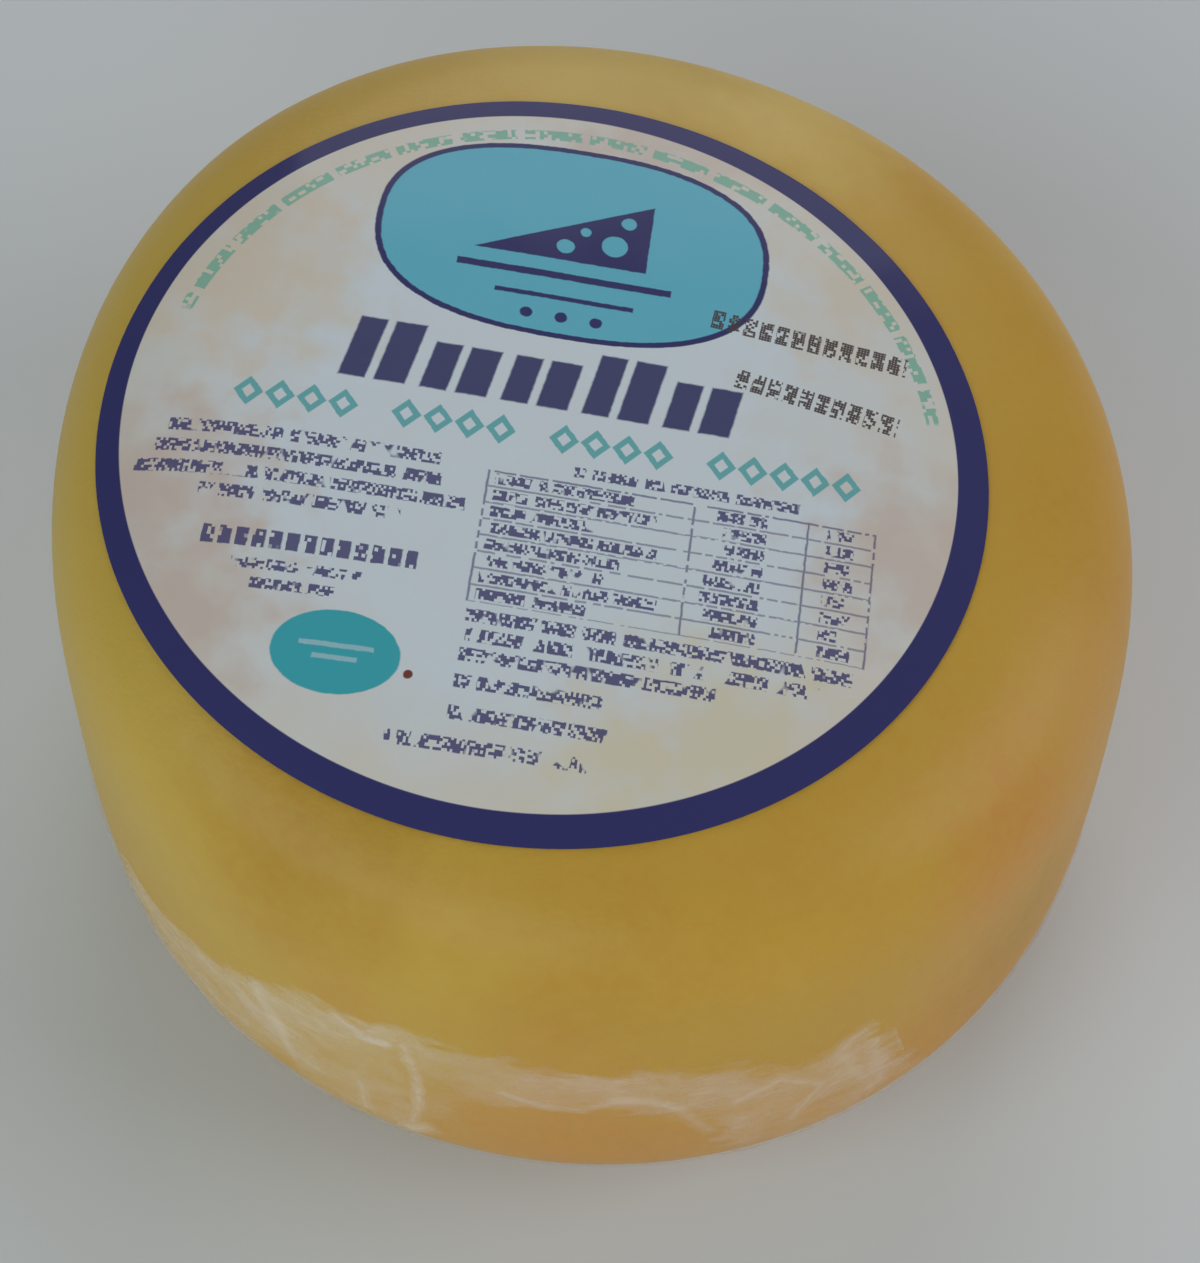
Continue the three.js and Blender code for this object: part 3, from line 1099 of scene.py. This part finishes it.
def double_film_material():
    material, tree, shader = new_material("milky_film_and_painted_reflection", Roughness=0.28, Specular_IOR_Level=0.4)
    place = place_in_mm(tree)
    x, y, z = split(tree, place)
    flow = join(tree, x, y, z * SMEAR_FLATNESS)
    smears = mottle(tree, flow, SMEAR_SCALE, 3.0)
    fine = mottle(tree, flow, STREAK_SCALE, 2.0)
    cream = milk_and_reflection_patches(tree, place, CREAM_PATCHES)
    lilac = milk_and_reflection_patches(tree, place, LILAC_PATCHES)
    behind = y.above(-30, 60) * smears * MILK_ROUND_THE_BACK
    uneven = smears * 0.8 + fine * 0.4 + 0.18
    clear_pane = orange_pane(x, y, z, fine).math("MULTIPLY_ADD", -PANE_CLEARNESS, 1)
    # These patches are partly milky double film and partly a painted reflection of the pale floor.
    milk_and_reflection = cream.larger(lilac).larger(behind) * uneven * clear_pane
    wander = (fine - 0.5) * 0.9
    # The fold lines are partly whitened doubled film and partly painted highlights.
    folds = largest([
        fold_line(tree, place, wander, start, end, width) * share
        for start, end, width, share in FOLD_AND_HIGHLIGHT_LINES
    ])
    ragged = depth_from_edge(tree) + (fine - 0.5) * FRAY_WANDER
    frayed = ragged.above(FRAY_DEPTH, FRAY_SOFTNESS)
    alpha = (milk_and_reflection + folds * 0.6 + 0.02).smaller(FILM_OPACITY_AT_MOST) * frayed
    tree.links.new(alpha.socket, shader.inputs["Alpha"])
    colour = colour_mix(tree, x.above(-10, 24), CREAM_MILK_AND_REFLECTION, LILAC_MILK_AND_REFLECTION)
    colour = colour_mix(tree, folds * 0.7, colour, FOLD_WHITE_AND_HIGHLIGHT)
    tree.links.new(colour, shader.inputs["Base Color"])
    relief = smears * 0.6 + fine * 0.15
    tree.links.new(bump(tree, relief, 0.3, 0.35), shader.inputs["Normal"])
    return material


wear(film, film_skin_material())
wear(double_layer, double_film_material())
for sheet in (film, double_layer):
    sheet.visible_shadow = False
    sheet.visible_diffuse = False
    sheet.visible_glossy = False

# %% [markdown]
# The floor is one wide plane, pale and matt. Far out, where only the sky lights it, it is almost white
# and glows faintly, so that in a low view it stays pale and meets the sky without a line.

# %% Floor
FLOOR_SIZE = 12.0
FLOOR_CUTS = 6
PALER_RADIUS, PALER_SOFTNESS = 2200, 2400
GLOW_RADIUS, GLOW_SOFTNESS = 1150, 1000
FLOOR_GREY = (0.755, 0.790, 0.805)
FLOOR_FAR = (0.960, 0.960, 0.960)
FAR_GLOW = (0.190, 0.198, 0.204)


def floor_material():
    material, tree, shader = new_material("studio_floor", Roughness=0.8, Specular_IOR_Level=0.2)
    x, y, _ = split(tree, place_in_mm(tree))
    out = (x * x + y * y).math("SQRT")
    colour = colour_mix(tree, out.above(PALER_RADIUS, PALER_SOFTNESS), FLOOR_GREY, FLOOR_FAR)
    tree.links.new(colour, shader.inputs["Base Color"])
    glow = colour_mix(tree, out.above(GLOW_RADIUS, GLOW_SOFTNESS), (0, 0, 0), FAR_GLOW)
    tree.links.new(glow, shader.inputs["Emission Color"])
    shader.inputs["Emission Strength"].default_value = 1
    return material


bpy.ops.object.select_all(action="DESELECT")
bpy.ops.mesh.primitive_plane_add(size=FLOOR_SIZE, location=(0, 0, 0))
floor = bpy.context.object
floor.name = "studio_floor"
in_edit_mode(floor, lambda: bpy.ops.mesh.subdivide(number_cuts=FLOOR_CUTS))
floor.data.materials.append(floor_material())

# %% [markdown]
# The light is soft and comes from low all round, so the near side is as bright as the face. Four round
# panels stand at the same distance, each with a bearing, a height angle, a power and a colour. The one
# behind lays a faint glare on the far shoulder, and the one at the right leaves a soft shadow at the
# near left. The sky gives only a little light, but where the camera sees it, it is as pale as the floor.

# %% Lights
PANEL_DISTANCE = 1.4
PANEL_SIZE = 1.0
PANEL_AIM = Vector((0, 0, 0.04))
PANELS = (
    ("back_panel", 90, 30, 4.9, (0.99, 0.97, 0.99)),
    ("right_panel", 0, 30, 5.1, (1.0, 0.98, 0.96)),
    ("left_front_panel", 225, 32, 4.9, (0.88, 0.98, 1.0)),
    ("front_panel", 270, 24, 3.7, (0.93, 0.98, 1.0)),
)
SKY = (0.93, 0.97, 1.0)
SKY_STRENGTH = 0.15
SKY_SEEN = 0.345


def add_panel(name, bearing_degrees, height_degrees, power, colour):
    turn, climb = math.radians(bearing_degrees), math.radians(height_degrees)
    level = Vector((math.cos(turn), math.sin(turn), 0)) * math.cos(climb)
    place = PANEL_DISTANCE * (level + Vector((0, 0, math.sin(climb))))
    data = bpy.data.lights.new(name, "AREA")
    data.shape = "DISK"
    data.size = PANEL_SIZE
    data.energy = power
    data.color = colour
    lamp = bpy.data.objects.new(name, data)
    bpy.context.scene.collection.objects.link(lamp)
    lamp.location = place
    lamp.rotation_euler = (PANEL_AIM - place).to_track_quat("-Z", "Y").to_euler()
    lamp.visible_camera = False


for panel in PANELS:
    add_panel(*panel)

world = bpy.data.worlds.new("soft_sky")
world.use_nodes = True
sky_tree = world.node_tree
sky = sky_tree.nodes["Background"]
sky.inputs["Color"].default_value = (*SKY, 1)
light_path = sky_tree.nodes.new("ShaderNodeLightPath")
seen = Field(sky_tree, light_path.outputs["Is Camera Ray"])
strength = seen.math("MULTIPLY_ADD", SKY_SEEN - SKY_STRENGTH, SKY_STRENGTH)
sky_tree.links.new(strength.socket, sky.inputs["Strength"])
bpy.context.scene.world = world
bpy.context.scene.view_settings.view_transform = "Standard"

# %% [markdown]
# Last, every piece is tied to the body of the frame that carries it, and the frame's wheel and label are
# hidden.

# %% Tie the pieces to the frame
for piece in (rind, label, film, double_layer):
    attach(piece, "root")

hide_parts("cheese_wheel")
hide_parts("cheese_wheel")
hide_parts("cheese_wheel")
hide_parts("paper_label")
